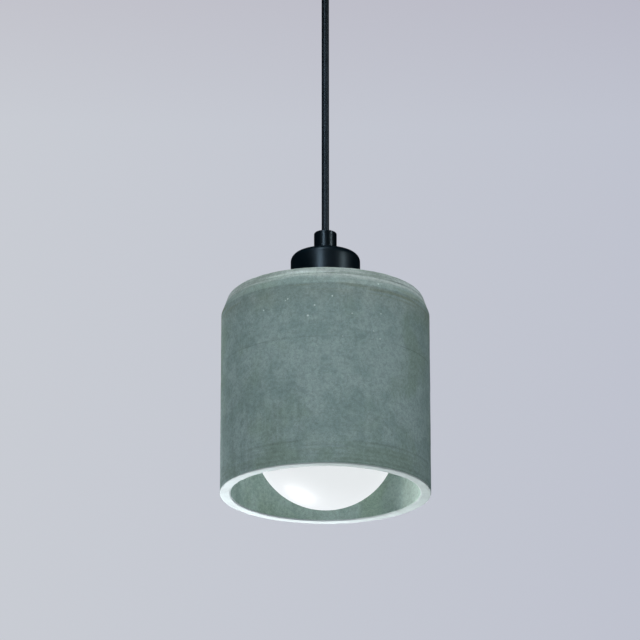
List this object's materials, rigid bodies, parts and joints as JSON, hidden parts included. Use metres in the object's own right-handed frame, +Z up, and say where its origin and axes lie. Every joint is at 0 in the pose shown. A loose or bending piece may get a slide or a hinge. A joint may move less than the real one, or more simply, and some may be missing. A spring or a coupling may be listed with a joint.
{
  "type": "pendant ceiling light",
  "caption": "Pendant ceiling light: thick cast concrete cylinder shade, open below round an opal globe bulb, with a black metal cup and cord grip, a straight black cord and a shallow canopy.",
  "frame": {"origin": "on the ceiling plane, at the middle of the ceiling bracket's two slots, on the lamp's axis", "axes": "+Z up along the cord and the lamp's axis; +X along the bracket, towards its terminal block; the lamp is seen in the picture looking along +Y"},
  "size_m": [0.14, 0.14, 0.4144],
  "materials": {
    "concrete": "matt cast concrete, green-grey, mottled",
    "black_metal": "black satin powder coat",
    "black_screws": "blackened steel",
    "cord_sheath": "black smooth PVC sheath",
    "brown_core": "brown core insulation",
    "blue_core": "blue core insulation",
    "white_moulding": "natural polyamide",
    "brass": "rolled brass",
    "zinc_steel": "bright zinc plate",
    "black_rubber": "black rubber",
    "black_moulding": "black thermoplastic",
    "porcelain": "white glazed porcelain",
    "solder": "dull solder",
    "black_glass": "black vitrite",
    "nickel_shell": "nickel plate",
    "white_collar": "white thermoplastic",
    "opal_glass": "opal white glass, satin",
    "board_aluminium": "white solder mask on aluminium",
    "led_phosphor": "yellow phosphor",
    "green_board": "green glass-epoxy",
    "driver_parts": "capacitor sleeve and choke"
  },
  "bodies": {
    "ceiling": {"ceiling_bracket": "zinc_steel", "ceiling_lock_washer": "zinc_steel", "ceiling_nut": "zinc_steel", "block_screw": "zinc_steel", "ceiling_nipple": "zinc_steel", "canopy": "black_metal", "ceiling_cord_grip": "black_metal", "canopy_screws": "black_screws", "ceiling_grip_screw": "black_screws", "ceiling_cord_tail": "cord_sheath", "ceiling_core_brown": "brown_core", "ceiling_core_blue": "blue_core", "terminal_block": "white_moulding", "terminal_barrels": "brass", "terminal_screws": "zinc_steel"},
    "cord": {"pendant_cord": "cord_sheath"},
    "lamp": {"lamp_cord_grip": "black_metal", "cup": "black_metal", "lamp_grip_screw": "black_screws", "lamp_cord_tail": "cord_sheath", "lamp_core_brown": "brown_core", "lamp_core_blue": "blue_core", "lamp_nipple": "zinc_steel", "lamp_lock_washer": "zinc_steel", "lamp_nut": "zinc_steel", "holder_dome_screw": "zinc_steel", "holder_terminal_screws": "zinc_steel", "cup_gasket": "black_rubber", "ring_gasket": "black_rubber", "holder_dome": "black_moulding", "holder_sleeve": "black_moulding", "shade_ring": "black_moulding", "holder_insert": "porcelain", "holder_screw_shell": "brass", "holder_centre_contact": "brass", "holder_terminals": "brass", "concrete_shade": "concrete"},
    "bulb_tip": {"bulb_contact_tip": "solder"},
    "bulb": {"bulb_insulator": "black_glass", "bulb_screw_shell": "nickel_shell", "bulb_collar": "white_collar", "bulb_globe": "opal_glass", "led_board": "board_aluminium", "led_chips": "led_phosphor", "driver_board": "green_board", "driver_components": "driver_parts"}
  },
  "joints": [
    {"name": "cord_swing", "type": "hinge", "parent": "ceiling", "child": "cord", "pos_m": [0, 0, -0.0408], "axis": [0, 1, 0], "range_deg": [-30, 30]},
    {"name": "lamp_rock", "type": "hinge", "parent": "cord", "child": "lamp", "pos_m": [0, 0, -0.2208], "axis": [1, 0, 0], "range_deg": [-20, 20]},
    {"name": "bulb_travel", "type": "slide", "parent": "lamp", "child": "bulb_tip", "axis": [0, 0, -1], "range_m": [0, 0.01814]},
    {"name": "bulb_turn", "type": "hinge", "parent": "bulb_tip", "child": "bulb", "pos_m": [0, 0, -0.27736], "axis": [0, 0, -1], "range_deg": [0, 1800]}
  ],
  "couplings": [
    {"joint": "bulb_travel", "follows": "bulb_turn", "m_per_rad": 0.0005775}
  ]
}
